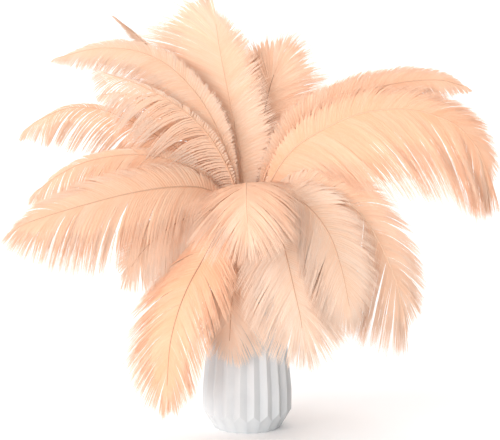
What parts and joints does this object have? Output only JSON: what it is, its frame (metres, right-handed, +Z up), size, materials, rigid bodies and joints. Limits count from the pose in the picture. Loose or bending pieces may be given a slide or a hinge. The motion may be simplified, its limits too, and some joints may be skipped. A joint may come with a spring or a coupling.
{
  "type": "ostrich feather bunch in a vase",
  "caption": "Loose bunch of soft peach ostrich plumes arching out on every side of a tall white pleated ceramic vase that tapers towards its mouth.",
  "frame": {"origin": "centre of the vase's foot, on the surface it stands on", "axes": "+Z up the vase's axis; -Y towards the viewer of the picture; +X to the picture's right"},
  "size_m": [0.4826, 0.3069, 0.432],
  "materials": {
    "ceramic_white": "satin",
    "feather_peach": "matte"
  },
  "bodies": {
    "root": {"vase": "ceramic_white", "feather_front_centre": "feather_peach", "feather_front_left": "feather_peach", "feather_front_right": "feather_peach", "feather_front_low": "feather_peach", "feather_front_side": "feather_peach", "feather_right_low": "feather_peach", "feather_right_arch": "feather_peach", "feather_left_arch": "feather_peach", "feather_left_crest": "feather_peach", "feather_left_high": "feather_peach", "feather_left_mid": "feather_peach", "feather_left_broad": "feather_peach", "feather_left_low": "feather_peach", "feather_top_tall": "feather_peach", "feather_top_right": "feather_peach", "feather_top_edge": "feather_peach", "feather_left_rear": "feather_peach", "feather_right_rear": "feather_peach", "feather_back_top": "feather_peach", "feather_back_left": "feather_peach", "feather_back_right": "feather_peach", "feather_back_low_left": "feather_peach", "feather_back_low_right": "feather_peach", "feather_back_middle": "feather_peach"}
  },
  "joints": []
}
